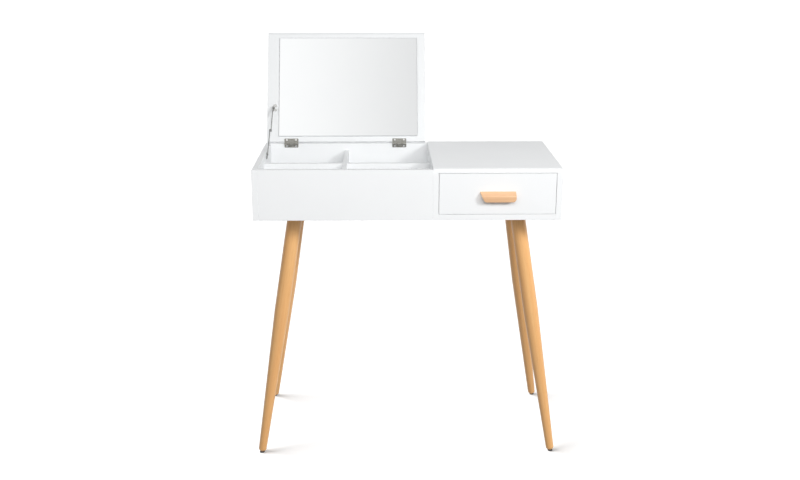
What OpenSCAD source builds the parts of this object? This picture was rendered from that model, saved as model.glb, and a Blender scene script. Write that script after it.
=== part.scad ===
// Flip top vanity table on four splayed round legs.
// Millimetres. +Z up, the front faces -Y, and the origin lies on the floor at the middle of the
// outer box, taken with the lid open. Depths are measured back from the front face.

/* [Table] */
// Overall width of the box
table_w = 800; // [760:1:860]
// Depth of the box
table_d = 350; // [340:1:400]
// Height of the fixed top above the floor
table_h = 800; // [740:1:860]
// Height of the box, with the fixed top
box_h = 137; // [132:1:170]
// Thickness of the boards of the box
board_t = 15; // [14:0.5:18]
// Thickness of the fixed top
top_t = 12; // [11:0.5:16]
// How far the rim of the compartment lies below the fixed top
rim_drop = 3; // [1:0.5:6]
// Left face of the partition, measured from the middle of the box
partition_x = 66; // [40:1:90]
// Width of the softened edges of every board
edge_soft = 0.5; // [0.2:0.1:1]

/* [Compartment] */
// Thickness of the dividers
divider_t = 12; // [9:0.5:15]
// How far the dividers end below the fixed top
divider_drop = 22; // [16:1:40]
// Middle of the main divider, left of the middle of the box
main_divider_x = 166; // [120:1:220]
// Middle of the cross divider, behind the front face
cross_divider_y = 165; // [120:1:200]
// Play in the half lap where the dividers cross
lap_play = 0.1; // [0:0.05:0.5]

/* [Lid] */
// Thickness of the lid
lid_t = 12; // [11:0.5:15]
// Angle of the open lid past upright
lid_lean = 22.7; // [10:0.1:24]
// Distance from the left face of the box to the lid
lid_side_gap = 4; // [1:0.5:8]
// Distance from the lid to the fixed top
lid_top_gap = 5; // [2:0.5:8]
// Distance from the front face to the closed lid
lid_front_gap = 0.5; // [0:0.5:6]
// Distance from the hinge axis to the rear edge of the lid
lid_rear_gap = 7.2; // [7:0.1:12]
// Gap between the closed lid and the rim
lid_rest_gap = 0.2; // [0.1:0.1:0.8]
// Width of the finger bevel along the free edge
bevel_w = 6; // [3:0.5:12]
// Depth of the finger bevel
bevel_h = 3; // [1:0.5:6]

/* [Mirror] */
// Thickness of the mirror
mirror_t = 3; // [2:0.5:5]
// Distance from the left edge of the lid to the mirror
mirror_left_gap = 34; // [30:1:60]
// Distance from the mirror to the right edge of the lid
mirror_right_gap = 23; // [18:1:60]
// Distance from the hinge axis to the mirror
mirror_low = 23; // [20:1:60]
// Distance from the mirror to the free edge of the lid
mirror_top_gap = 17; // [16:1:60]

/* [Hinges] */
// Length of a hinge
hinge_w = 40; // [36:1:60]
// Reach of the lid's leaf from the hinge axis
lid_leaf_reach = 16.5; // [13:0.5:18]
// Reach of the back board's leaf from the hinge axis
wall_leaf_reach = 10; // [9.5:0.5:18]
// Radius of the round corners of a leaf
leaf_corner = 2; // [0.5:0.5:3]
// Thickness of a leaf
leaf_t = 1.2; // [1:0.1:1.3]
// Outer diameter of the knuckles
knuckle_d = 4.6; // [4.2:0.1:4.8]
// Diameter of the hinge pin
hinge_pin_d = 2.4; // [2:0.1:2.6]
// Distance from the inner face of the back board to the hinge axis
axis_in = 2.5; // [2.5:0.1:4]
// Distance from the left edge of the lid to the middle of the left hinge
hinge_left = 70.5; // [50:0.5:120]
// Distance from the right edge of the lid to the middle of the right hinge
hinge_right = 76; // [50:0.5:120]
// Gap between neighbouring knuckles
knuckle_gap = 0.4; // [0.1:0.05:0.8]
// Distance from the middle of a hinge to its screws
hinge_screw_x = 13; // [9:0.5:14]
// Distance from the end of a leaf to its screws
hinge_screw_edge = 3.8; // [3.4:0.1:5]

/* [Stay] */
// Distance from the hinge axis to the upper pivot, along the lid
stay_reach = 107; // [90:1:125]
// Height of the upper pivot off the hinge plane
stay_off = 4; // [4:0.5:7]
// Distance between the two pivots when the lid is closed
stay_drop = 1.5; // [0.5:0.5:4]
// Angle by which the folded links point down when the lid is closed
stay_fold = 6; // [4:0.5:9]
// Width of a link
link_w = 8; // [6:0.5:9]
// Thickness of a link
link_t = 1.6; // [1:0.1:1.8]
// Gap between the planes of the two links
link_gap = 1.4; // [1.2:0.1:1.6]
// Diameter of the pivots
pivot_d = 4; // [3:0.5:4.5]
// Diameter of the pivot heads
pivot_head_d = 6.4; // [6:0.1:7]
// Thickness of the pivot heads between the links
pivot_head_t = 0.5; // [0.3:0.05:0.55]
// Thickness of the wall bracket and the lid bracket
bracket_t = 1.6; // [1:0.1:2]
// Depth of the wall bracket below the lower pivot
bracket_drop = 12; // [11:0.5:20]

/* [Drawer] */
// Gap round the drawer front
drawer_gap = 1; // [0.5:0.5:3]
// Thickness of the drawer sides and the drawer back
drawer_side_t = 12; // [10:0.5:14]
// Height of the drawer sides
drawer_side_h = 80; // [60:1:88]
// Distance from the drawer to the back board
drawer_rear_gap = 20; // [16:1:60]
// Height of the drawer sides above the bottom board
drawer_lift = 10; // [6:1:12]
// Thickness of the drawer bottom
drawer_bottom_t = 3; // [3:0.5:5]
// Depth of the grooves that hold the drawer bottom
groove_depth = 5; // [3:0.5:6]
// Room for the runners at each side of the drawer
runner_room = 12.5; // [12:0.1:14]

/* [Pull] */
// Width of the pull
pull_w = 93; // [80:1:120]
// Height of the pull
pull_h = 25; // [24:1:34]
// How far the pull stands out
pull_out = 18; // [16:1:22]
// Distance from the fixed top's upper face to the pull
pull_drop = 60.5; // [50:0.5:70]
// Left end of the pull, measured from the middle of the box
pull_x = 186.8; // [160:0.2:200]
// Slant of the pull's left end
pull_slant = 11.5; // [6:0.5:18]
// Radius of the pull's lower left corner
pull_end_round = 10; // [3:0.5:12]
// Radius of the pull's lower right corner
pull_round = 10.5; // [4:0.5:12]
// Fall of the pull's upper face from the drawer to the nose
pull_fall = 7; // [3:0.5:8]
// Thickness of the pull's front
pull_lip = 4; // [3:0.5:5]
// Distance between the pull's screws
pull_pitch = 50; // [40:1:54]
// Diameter of the pull's screws
pull_screw_d = 4; // [3:0.5:4.5]

/* [Legs] */
// Diameter of a leg above its taper
leg_d = 39.5; // [34:0.5:44]
// Diameter of a leg at its foot
leg_foot_d = 21; // [19:0.5:28]
// Share of a leg's length that is straight
leg_straight = 0.41; // [0.2:0.01:0.6]
// Distance from the side face to the top of a leg's axis
leg_top_side = 103.4; // [80:0.2:120]
// Distance from the front or rear face to the top of a leg's axis
leg_top_end = 92.7; // [60:0.1:110]
// Distance from the side face to the middle of a foot
foot_side = 2.2; // [0:0.2:60]
// How far the middle of a foot stands past the front or rear face
foot_past = 0.5; // [-40:0.5:6]
// Diameter of a foot pad
pad_d = 13; // [11:0.5:15]
// Height of a foot pad
pad_h = 4.8; // [4:0.2:7]
// Width of the bevel round the end of a leg
foot_bevel = 2.7; // [1.5:0.1:3]
// Height of the bevel round the end of a leg
foot_bevel_h = 4.2; // [2:0.2:6]
// Diameter of the bolt that holds a leg
leg_bolt_d = 8; // [6:1:10]
// Length of the leg bolt inside the leg
leg_bolt_low = 40; // [25:1:60]
// Length of the leg bolt inside the board
leg_bolt_high = 11; // [8:0.5:12]

/* [Dowels and screws] */
// Diameter of the dowels of the box
peg_d = 8; // [6:1:10]
// Diameter of the dowels of the drawer
drawer_peg_d = 6; // [5:1:7]
// Length of a dowel in the face of a board
peg_face = 6.5; // [5:0.5:6.5]
// Length of a dowel in the edge of a board
peg_edge = 21; // [15:1:24]
// Play round dowels, bolts and screws, on the radius
play = 0.05; // [0.02:0.01:0.1]
// Diameter of the wood screws
screw_d = 3; // [2.5:0.1:3.2]
// Diameter of a countersunk screw head
screw_head_d = 5.4; // [5:0.1:5.6]
// Length of a wood screw
screw_len = 9; // [7:0.5:9.5]

/* [Hidden] */
$fn = 64;
eps = 0.01;
cut = 1;

half_w = table_w / 2;
box_z = table_h - box_h;
top_z = table_h - top_t;
rim_z = table_h - rim_drop;
floor_z = box_z + board_t;
inner_left = board_t - half_w;
inner_right = half_w - board_t;
inner_rear = table_d - board_t;
bay_x = partition_x + board_t;

// Hinge axis, and the lid measured from it: reach along the lid, height off the hinge plane
axis_y = inner_rear - axis_in;
axis_z = rim_z - leaf_t + lid_rest_gap;
lid_turn = 90 + lid_lean;
lid_left = lid_side_gap - half_w;
lid_right = partition_x - lid_top_gap;
lid_end = axis_y - lid_front_gap;
knuckle_r = knuckle_d / 2;
leaf_step = 0.5;
leaf_start = knuckle_r + leaf_step;
knuckles = 5;
hinge_xs = [lid_left + hinge_left, lid_right - hinge_right];
wall_leaf_height = axis_in - leaf_t;
mirror_left = lid_left + mirror_left_gap;
mirror_right = lid_right - mirror_right_gap;
mirror_high = lid_end - mirror_top_gap;

// Outer box in depth, which places the front face
lid_back = axis_y + (leaf_t + lid_t) * cos(lid_lean) + (lid_end - edge_soft) * sin(lid_lean);
front_y = (pull_out - lid_back) / 2;

// Planes of the folding stay, from the wall towards the mirror
link_space = 0.6;
ear_space = 0.3;
low_link_x = inner_left + bracket_t + link_space;
high_link_x = low_link_x + link_t + link_gap;
ear_x = high_link_x + link_t + ear_space;
head_play = 0.05;
stay_low = [axis_y - stay_reach - stay_drop * sin(stay_fold),
            axis_z - stay_off - stay_drop * cos(stay_fold)];
stay_high = [axis_y + stay_reach * sin(lid_lean) - stay_off * cos(lid_lean),
             axis_z + stay_reach * cos(lid_lean) + stay_off * sin(lid_lean)];
stay_span = stay_high - stay_low;
link_len = norm(stay_span) / 2;
link_lift = atan2(stay_span[1], stay_span[0]);
knee = (stay_low + stay_high) / 2;
eye_d = link_w + 1;
shank_past = 0.2;
cap_t = 1.2;
bracket_foot_h = 8;
bracket_half = 11;
wall_screw_half = 5.5;
wall_screw_up = 4;
lid_screw_half = 6.2;
lid_screw_in = 4.2;
lobe_r = 3.6;

// Drawer box and its runners
front_low = floor_z + drawer_gap;
front_high = top_z - drawer_gap;
side_low = floor_z + drawer_lift;
side_high = side_low + drawer_side_h;
box_left = bay_x + runner_room;
box_right = inner_right - runner_room;
drawer_rear = inner_rear - drawer_rear_gap;
drawer_len = drawer_rear - board_t;
groove_up = 8;
groove_low = side_low + groove_up;
groove_play = 0.5;
back_low = groove_low + drawer_bottom_t;
bay_mid = (bay_x + inner_right) / 2;
runner_z = side_low + drawer_side_h / 2;
sheet_t = 1.2;
roller_d = 20;
roller_w = 6;
runner_play = 0.3;
slide_play = 1.5;
axle_past = 0.5;
runner_back = 2;
channel_half = roller_d / 2 + runner_play;
channel_w = runner_room - sheet_t - slide_play;
small_roller_d = channel_half - sheet_t / 2 - 2 * runner_play;
roller_axle_d = 4;
slide_half = 8;
slide_roller_y = drawer_rear - roller_d / 2 - runner_back;
runner_screw_ys = [60, 180];

// Pull
pull_xs = [-1, 1] * pull_pitch / 2;
pull_mid = pull_x + pull_w / 2 + pull_slant / 4;
pull_top = table_h - pull_drop;
pull_screw_low = 9;
pull_screw_z = pull_top - pull_screw_low;
pull_screw_in = 8;
pull_head_d = 8;
pull_head_t = 2.5;

// Legs: the axis runs from the middle of the foot to the underside of the box
leg_run = [leg_top_side - foot_side, leg_top_end + foot_past];
leg_len = norm([leg_run[0], leg_run[1], box_z]);
leg_tilt = atan2(norm(leg_run), box_z);
leg_seam = 90;

// Cross recess of the screws
recess_l = 2.8;
recess_w = 0.6;
recess_h = 0.4;

// Turns that point +Z into the right, the left, the rear, the front and down
into_right = [0, 90, 0];
into_left = [0, -90, 0];
into_rear = [-90, 0, 0];
into_front = [90, 0, 0];
into_low = [180, 0, 0];
peg_zs = [for (share = [0.28, 0.7]) box_z + share * box_h];
bottom_z = box_z + board_t / 2;
front_mid = board_t / 2;
rear_mid = table_d - board_t / 2;
left_ys = [0.17, 0.5, 0.83] * table_d;
right_ys = [0.11, 0.44, 0.77] * table_d;
top_ys = [0.25, 0.7] * table_d;
top_xs = [for (share = [0.25, 0.75]) bay_x + share * (inner_right - bay_x)];

// Each dowel: the point where it crosses the joint, and the turn into the board's edge
BOX_PEGS = concat(
    [for (y = left_ys) [[inner_left, y, bottom_z], into_right]],
    [for (y = [front_mid, rear_mid], z = peg_zs) [[inner_left, y, z], into_right]],
    [for (y = left_ys) [[partition_x, y, bottom_z], into_left]],
    [for (z = peg_zs) [[partition_x, front_mid, z], into_left]],
    [for (y = right_ys) [[bay_x, y, bottom_z], into_right]],
    [for (y = right_ys) [[inner_right, y, bottom_z], into_left]],
    [for (z = peg_zs) [[inner_right, rear_mid, z], into_left]],
    [for (z = peg_zs) [[partition_x + board_t / 2, inner_rear, z], into_front]],
    [for (x = [bay_x - board_t / 2, half_w - board_t / 2], y = top_ys) [[x, y, top_z], into_low]],
    [for (x = top_xs) [[x, rear_mid, top_z], into_low]]
);
drawer_peg_low = 22;
drawer_peg_high = 14;
drawer_peg_zs = [side_low + drawer_peg_low, side_high - drawer_peg_high];
back_mid = drawer_rear - drawer_side_t / 2;
DRAWER_PEGS = concat(
    [for (x = [box_left + drawer_side_t / 2, box_right - drawer_side_t / 2], z = drawer_peg_zs)
        [[x, board_t, z], into_rear]],
    [for (z = drawer_peg_zs) [[box_left + drawer_side_t, back_mid, z], into_right]],
    [for (z = drawer_peg_zs) [[box_right - drawer_side_t, back_mid, z], into_left]]
);

WHITE = [0.95, 0.95, 0.95];
OAK = [0.86, 0.63, 0.37];
BEECH = [0.95, 0.78, 0.60];
NICKEL = [0.72, 0.72, 0.73];
ZINC = [0.78, 0.80, 0.82];
BLACK = [0.12, 0.12, 0.12];
GLASS = [0.80, 0.85, 0.88];

// Moves children from depths behind the front face into the part's frame
module placed() { translate([0, front_y, 0]) children(); }

// Rectangle with softened corners
module soft_rect(w, h) {
    s = edge_soft;
    polygon([[s, 0], [w - s, 0], [w, s], [w, h - s], [w - s, h], [s, h], [0, h - s], [0, s]]);
}

// Board between two corners, with softened edges
module board(low, high) {
    size = high - low;
    translate(low) intersection() {
        linear_extrude(size[2]) soft_rect(size[0], size[1]);
        translate([0, size[1], 0]) rotate([90, 0, 0]) linear_extrude(size[1]) soft_rect(size[0], size[2]);
        rotate([90, 0, 90]) linear_extrude(size[0]) soft_rect(size[1], size[2]);
    }
}

// Plain block between two corners
module block(low, high) { translate(low) cube(high - low); }

// Round rod along X between two values of x
module rod_x(d, x0, x1, y, z) { translate([x0, y, z]) rotate(into_right) cylinder(d = d, h = x1 - x0); }

// Dowels of one list, or their holes when grow is above zero
module pegs(list, d, grow = 0) {
    for (peg = list) translate(peg[0]) rotate(peg[1])
        translate([0, 0, -peg_face - grow]) cylinder(d = d + 2 * grow, h = peg_face + peg_edge + 2 * grow);
}

// Countersunk wood screw with a cross recess, its head at the origin and its shank along +Z
module wood_screw() {
    difference() {
        union() {
            cylinder(d1 = screw_head_d, d2 = screw_d, h = leaf_t - head_play);
            cylinder(d = screw_d, h = screw_len);
        }
        for (turn = [0, 90]) rotate(turn)
            block([-recess_l / 2, -recess_w / 2, -cut], [recess_l / 2, recess_w / 2, recess_h]);
    }
}

// Room for a wood screw: the countersink in the metal and the hole in the board
module screw_room() {
    translate([0, 0, -eps])
        cylinder(d1 = screw_head_d + 4 * play, d2 = screw_d + 2 * play, h = leaf_t + eps);
    cylinder(d = screw_d + 2 * play, h = screw_len + play);
}

// The lid's own frame, from the closed pose: reach runs along -Y and height along +Z
module on_lid() { translate([0, axis_y, axis_z]) rotate([-lid_turn, 0, 0]) children(); }

// The wall side of a hinge: reach runs down and height runs into the back board
module on_wall() { translate([0, axis_y, axis_z]) mirror([0, 1, 0]) rotate([90, 0, 0]) children(); }

// Carries children that point along +Z at the screw places of two leaves with one reach
module hinge_screw_places(reach, height) {
    for (x = hinge_xs, side = [-1, 1])
        translate([x + side * hinge_screw_x, hinge_screw_edge - reach, height]) children();
}

// Screw places of the wall bracket, pointing into the left side
module wall_bracket_places() {
    for (side = [-1, 1])
        translate([inner_left + bracket_t, stay_low[0] + side * wall_screw_half,
                   stay_low[1] - bracket_drop + wall_screw_up])
            rotate(into_left) children();
}

// Screw places of the lid bracket, pointing into the lid
module lid_bracket_places() {
    for (side = [-1, 1])
        translate([ear_x + bracket_t + lid_screw_in, side * lid_screw_half - stay_reach,
                   leaf_t - bracket_t])
            children();
}

// Moves children to the foot of a leg, with +Z up the leg; side and end are -1 or 1
module at_leg(side, end) {
    translate([side * (half_w - foot_side), table_d / 2 + end * (table_d / 2 + foot_past), 0])
        rotate([0, leg_tilt, atan2(-end * leg_run[1], -side * leg_run[0])]) rotate(leg_seam) children();
}

// Level slab in a leg's own frame: its middle stands over the floor point of the leg at a height
module level_slab(run, height) {
    slab = 4 * leg_d;
    rotate(-leg_seam) rotate([0, -leg_tilt, 0]) translate([run, 0, height]) cube(slab, center = true);
}

// Bolt at the top of a leg, in the leg's own frame, or its hole when grow is above zero
module leg_bolt(grow = 0) {
    translate([0, 0, leg_len - leg_bolt_low - grow])
        cylinder(d = leg_bolt_d + 2 * grow, h = leg_bolt_low + leg_bolt_high + 2 * grow);
}

// Bolts of all four legs, or their holes when grow is above zero
module leg_bolt_set(grow = 0) {
    for (side = [-1, 1], end = [-1, 1]) at_leg(side, end) leg_bolt(grow);
}

// Screws of the runners, which point into the partition and the right side
module runner_screw_places() {
    for (y = runner_screw_ys) {
        translate([bay_x + sheet_t, y, runner_z]) rotate(into_left) children();
        translate([inner_right - sheet_t, y, runner_z]) rotate(into_right) children();
    }
}

// ---------------------------------------------------------------- box

module left_side() {
    color(WHITE) placed() difference() {
        board([-half_w, 0, box_z], [inner_left, table_d, rim_z]);
        pegs(BOX_PEGS, peg_d, play);
        wall_bracket_places() screw_room();
    }
}

module right_side() {
    color(WHITE) placed() difference() {
        board([inner_right, 0, box_z], [half_w, table_d, top_z]);
        pegs(BOX_PEGS, peg_d, play);
        runner_screw_places() screw_room();
    }
}

module partition() {
    color(WHITE) placed() difference() {
        board([partition_x, 0, box_z], [bay_x, inner_rear, top_z]);
        pegs(BOX_PEGS, peg_d, play);
        runner_screw_places() screw_room();
    }
}

module left_bottom() {
    color(WHITE) placed() difference() {
        board([inner_left, board_t, box_z], [partition_x, inner_rear, floor_z]);
        pegs(BOX_PEGS, peg_d, play);
        leg_bolt_set(play);
    }
}

module right_bottom() {
    color(WHITE) placed() difference() {
        board([bay_x, 0, box_z], [inner_right, inner_rear, floor_z]);
        pegs(BOX_PEGS, peg_d, play);
        leg_bolt_set(play);
    }
}

module back_panel() {
    color(WHITE) placed() difference() {
        union() {
            board([inner_left, inner_rear, box_z], [inner_right, table_d, top_z]);
            board([inner_left, inner_rear, box_z], [partition_x, table_d, rim_z]);
        }
        pegs(BOX_PEGS, peg_d, play);
        on_wall() hinge_screw_places(wall_leaf_reach, wall_leaf_height) screw_room();
    }
}

module left_front_panel() {
    color(WHITE) placed() difference() {
        board([inner_left, 0, box_z], [partition_x, board_t, rim_z]);
        pegs(BOX_PEGS, peg_d, play);
    }
}

module fixed_top() {
    color(WHITE) placed() difference() {
        board([partition_x, 0, top_z], [half_w, table_d, table_h]);
        pegs(BOX_PEGS, peg_d, play);
    }
}

divider_top = table_h - divider_drop;
lap_z = (floor_z + divider_top) / 2;

module main_divider() {
    color(WHITE) placed() difference() {
        board([-main_divider_x - divider_t / 2, board_t, floor_z],
              [-main_divider_x + divider_t / 2, inner_rear, divider_top]);
        translate([-main_divider_x, cross_divider_y, lap_z + box_h / 2 - lap_play])
            cube([2 * divider_t, divider_t + 2 * lap_play, box_h], center = true);
    }
}

module cross_divider() {
    color(WHITE) placed() difference() {
        board([inner_left, cross_divider_y - divider_t / 2, floor_z],
              [partition_x, cross_divider_y + divider_t / 2, divider_top]);
        translate([-main_divider_x, cross_divider_y, lap_z - box_h / 2])
            cube([divider_t + 2 * lap_play, 2 * divider_t, box_h], center = true);
    }
}

module box_dowels() { color(BEECH) placed() pegs(BOX_PEGS, peg_d); }

// ---------------------------------------------------------------- runners

// Channel with its back at x = 0 and its flanges along +X
module channel() {
    translate([0, drawer_rear, runner_z]) rotate([90, 0, 0]) linear_extrude(drawer_len - runner_back) {
        translate([0, -channel_half - sheet_t]) square([sheet_t, 2 * (channel_half + sheet_t)]);
        for (z = [-channel_half - sheet_t, channel_half]) translate([0, z]) square([channel_w, sheet_t]);
    }
    rod_x(roller_axle_d, eps, sheet_t + roller_w + axle_past, small_roller_y, small_roller_z);
}

small_roller_y = board_t + runner_back + small_roller_d;
small_roller_z = runner_z - channel_half + runner_play + small_roller_d / 2;

module runner(on_right) {
    color(ZINC) placed() difference() {
        translate([bay_mid, 0, 0]) mirror([on_right ? 1 : 0, 0, 0])
            translate([bay_x - bay_mid, 0, 0]) channel();
        runner_screw_places() translate([0, 0, -eps]) screw_room();
    }
}

module runner_left() { runner(false); }
module runner_right() { runner(true); }

// Roller along +X from x = 0, with its hole
module roller(d, bore_d) {
    rotate([0, 90, 0]) difference() {
        cylinder(d = d, h = roller_w);
        translate([0, 0, -cut]) cylinder(d = bore_d, h = roller_w + 2 * cut);
    }
}

module roller_pair(x, y, z, d) {
    for (side = [0, 1]) translate([bay_mid, y, z]) mirror([side, 0, 0])
        translate([x - bay_mid, 0, 0]) roller(d, roller_axle_d + 2 * play);
}

module runner_rollers() {
    color(WHITE) placed() roller_pair(bay_x + sheet_t + runner_play, small_roller_y, small_roller_z,
                                     small_roller_d);
}

module runner_screws() { color(ZINC) placed() runner_screw_places() wood_screw(); }

// ---------------------------------------------------------------- legs

module leg(side, end) {
    straight_z = leg_len * (1 - leg_straight);
    end_r = leg_foot_d / 2 - foot_bevel;
    color(OAK) placed() at_leg(side, end) difference() {
        rotate_extrude() polygon([
            [0, pad_h], [end_r, pad_h], [leg_foot_d / 2, pad_h + foot_bevel_h],
            [leg_d / 2, straight_z], [leg_d / 2, leg_len + leg_d / 2], [0, leg_len + leg_d / 2]]);
        level_slab(norm(leg_run), box_z + 2 * leg_d);
        leg_bolt(play);
    }
}

module leg_front_left() { leg(-1, -1); }
module leg_front_right() { leg(1, -1); }
module leg_rear_left() { leg(-1, 1); }
module leg_rear_right() { leg(1, 1); }

module pad(side, end) {
    color(BLACK) placed() at_leg(side, end) difference() {
        translate([0, 0, -pad_h]) cylinder(d = pad_d, h = 2 * pad_h);
        level_slab(0, -2 * leg_d);
    }
}

module pad_front_left() { pad(-1, -1); }
module pad_front_right() { pad(1, -1); }
module pad_rear_left() { pad(-1, 1); }
module pad_rear_right() { pad(1, 1); }
module leg_bolts() { color(ZINC) placed() leg_bolt_set(); }

// ---------------------------------------------------------------- hinges

// Plate of a leaf, which reaches along -Y and has round corners at its end
module leaf_plate(reach) {
    half = hinge_w / 2;
    translate([-half, leaf_corner - reach]) square([hinge_w, reach - leaf_corner - leaf_start]);
    translate([leaf_corner - half, -reach]) square([hinge_w - 2 * leaf_corner, leaf_corner + eps]);
    for (side = [-1, 1])
        translate([side * (half - leaf_corner), leaf_corner - reach]) circle(r = leaf_corner);
}

// One leaf about the X axis, with its plate at a height; on_lid picks its knuckles
module leaf(reach, height, on_lid) {
    pitch = hinge_w / knuckles;
    first = on_lid ? 1 : 0;
    difference() {
        union() {
            translate([0, 0, height]) linear_extrude(leaf_t) leaf_plate(reach);
            for (i = [first:2:knuckles - 1]) translate([-hinge_w / 2 + i * pitch + knuckle_gap / 2, 0, 0]) {
                block([0, -leaf_start - eps, height], [pitch - knuckle_gap, 0, height + leaf_t]);
                rotate([0, 90, 0]) cylinder(d = knuckle_d, h = pitch - knuckle_gap);
            }
        }
        translate([-hinge_w, 0, 0]) rotate([0, 90, 0])
            cylinder(d = hinge_pin_d + (on_lid ? 2 * play : 0.02), h = 2 * hinge_w);
        for (side = [-1, 1])
            translate([side * hinge_screw_x, hinge_screw_edge - reach, height]) screw_room();
    }
}

module hinge_wall_leaf_left() {
    color(NICKEL) placed() on_wall() translate([hinge_xs[0], 0, 0])
        leaf(wall_leaf_reach, wall_leaf_height, false);
}
module hinge_wall_leaf_right() {
    color(NICKEL) placed() on_wall() translate([hinge_xs[1], 0, 0])
        leaf(wall_leaf_reach, wall_leaf_height, false);
}
module hinge_lid_leaf_left() {
    color(NICKEL) placed() on_lid() translate([hinge_xs[0], 0, 0]) leaf(lid_leaf_reach, 0, true);
}
module hinge_lid_leaf_right() {
    color(NICKEL) placed() on_lid() translate([hinge_xs[1], 0, 0]) leaf(lid_leaf_reach, 0, true);
}
module hinge_pins() {
    color(NICKEL) placed() for (x = hinge_xs)
        rod_x(hinge_pin_d, x - hinge_w / 2, x + hinge_w / 2, axis_y, axis_z);
}
module hinge_wall_screws() {
    color(NICKEL) placed() on_wall() hinge_screw_places(wall_leaf_reach, wall_leaf_height) wood_screw();
}
module hinge_lid_screws() {
    color(NICKEL) placed() on_lid() hinge_screw_places(lid_leaf_reach, 0) wood_screw();
}

// ---------------------------------------------------------------- lid

module lid_panel() {
    s = edge_soft;
    color(WHITE) placed() on_lid() difference() {
        intersection() {
            board([lid_left, -lid_end, leaf_t], [lid_right, -lid_rear_gap, leaf_t + lid_t]);
            translate([lid_left - cut, 0, 0]) rotate([90, 0, 90])
                linear_extrude(lid_right - lid_left + 2 * cut)
                    polygon([[-lid_end, leaf_t + bevel_h], [bevel_w - lid_end, leaf_t], [0, leaf_t],
                             [0, leaf_t + lid_t + s], [-lid_end, leaf_t + lid_t + s]]);
        }
        hinge_screw_places(lid_leaf_reach, 0) screw_room();
        lid_bracket_places() screw_room();
    }
}

module mirror_glass() {
    color(GLASS) placed() on_lid()
        board([mirror_left, -mirror_high, leaf_t - mirror_t], [mirror_right, -mirror_low, leaf_t]);
}

// ---------------------------------------------------------------- stay

// Link from its first pivot at the origin along +Y, its plate from x = 0
module link() {
    rotate([90, 0, 90]) linear_extrude(link_t) difference() {
        union() {
            translate([0, -link_w / 2]) square([link_len, link_w]);
            for (y = [0, link_len]) translate([y, 0]) circle(d = link_w);
        }
        for (y = [0, link_len]) translate([y, 0]) circle(d = pivot_d + 2 * play);
    }
}

module stay_wall_bracket() {
    color(NICKEL) placed() difference() {
        translate([inner_left, stay_low[0], stay_low[1]]) rotate([90, 0, 90]) {
            linear_extrude(bracket_t) {
                circle(d = eye_d);
                translate([-eye_d / 2, -bracket_drop]) square([eye_d, bracket_drop]);
                translate([-bracket_half, -bracket_drop]) square([2 * bracket_half, bracket_foot_h]);
            }
            linear_extrude(bracket_t + link_space - head_play) circle(d = pivot_head_d);
        }
        rod_x(pivot_d + 2 * play, inner_left - cut, low_link_x + cut, stay_low[0], stay_low[1]);
        wall_bracket_places() screw_room();
    }
}

module stay_wall_pin() {
    head_x = low_link_x + link_t + head_play;
    color(NICKEL) placed() {
        rod_x(pivot_d, inner_left + head_play, head_x + eps, stay_low[0], stay_low[1]);
        rod_x(pivot_head_d, head_x, head_x + pivot_head_t, stay_low[0], stay_low[1]);
    }
}

module stay_wall_screws() { color(NICKEL) placed() wall_bracket_places() wood_screw(); }

module stay_lower_link() {
    color(NICKEL) placed() translate([low_link_x, stay_low[0], stay_low[1]])
        rotate([link_lift, 0, 0]) link();
}

module stay_knee_rivet() {
    color(NICKEL) placed() {
        rod_x(pivot_head_d, low_link_x - cap_t, low_link_x - head_play, knee[0], knee[1]);
        rod_x(pivot_d, low_link_x - cap_t / 2, low_link_x + link_t + shank_past, knee[0], knee[1]);
        rod_x(pivot_head_d, low_link_x + link_t + head_play, high_link_x - ear_space, knee[0], knee[1]);
    }
}

module stay_upper_link() {
    color(NICKEL) placed() translate([high_link_x, knee[0], knee[1]])
        rotate([link_lift, 0, 0]) link();
}

module stay_knee_cap() {
    head_x = high_link_x + link_t;
    color(NICKEL) placed() {
        rod_x(pivot_d, high_link_x, head_x + shank_past, knee[0], knee[1]);
        rod_x(pivot_head_d, head_x + head_play, head_x + cap_t, knee[0], knee[1]);
    }
}

// Foot of the lid bracket: a strip along the ear, with a round lobe for each screw
module lid_bracket_foot() {
    translate([0, -lid_screw_half]) square([2 * bracket_t, 2 * lid_screw_half]);
    for (side = [-1, 1]) translate([0, side * lid_screw_half]) {
        translate([0, -lobe_r]) square([bracket_t + lid_screw_in, 2 * lobe_r]);
        translate([bracket_t + lid_screw_in, 0]) circle(r = lobe_r);
    }
}

module stay_lid_bracket() {
    color(NICKEL) placed() on_lid() difference() {
        union() {
            translate([ear_x, -stay_reach, leaf_t - bracket_t])
                linear_extrude(bracket_t) lid_bracket_foot();
            translate([ear_x, -stay_reach, 0]) rotate([90, 0, 90]) linear_extrude(bracket_t) {
                translate([0, -stay_off]) circle(d = eye_d);
                translate([-eye_d / 2, -stay_off]) square([eye_d, stay_off + leaf_t]);
            }
        }
        rod_x(pivot_d + 2 * play, ear_x - cut, ear_x + bracket_t + cut, -stay_reach, -stay_off);
        lid_bracket_places() screw_room();
    }
}

module stay_lid_pin() {
    head_x = high_link_x - head_play - pivot_head_t;
    color(NICKEL) placed() on_lid() {
        rod_x(pivot_head_d, head_x, head_x + pivot_head_t, -stay_reach, -stay_off);
        rod_x(pivot_d, head_x + eps, ear_x + bracket_t + link_space, -stay_reach, -stay_off);
    }
}

module stay_lid_screws() { color(NICKEL) placed() on_lid() lid_bracket_places() wood_screw(); }

// ---------------------------------------------------------------- drawer

module drawer_front() {
    color(WHITE) placed() difference() {
        board([bay_x + drawer_gap, 0, front_low], [inner_right - drawer_gap, board_t, front_high]);
        pegs(DRAWER_PEGS, drawer_peg_d, play);
        for (x = pull_xs) translate([pull_mid + x, -cut, pull_screw_z]) rotate(into_rear)
            cylinder(d = pull_screw_d + 2 * play, h = board_t + 2 * cut);
        block([box_left + groove_depth, board_t - groove_depth, groove_low],
              [box_right - groove_depth, board_t + cut, groove_low + drawer_bottom_t]);
    }
}

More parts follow.
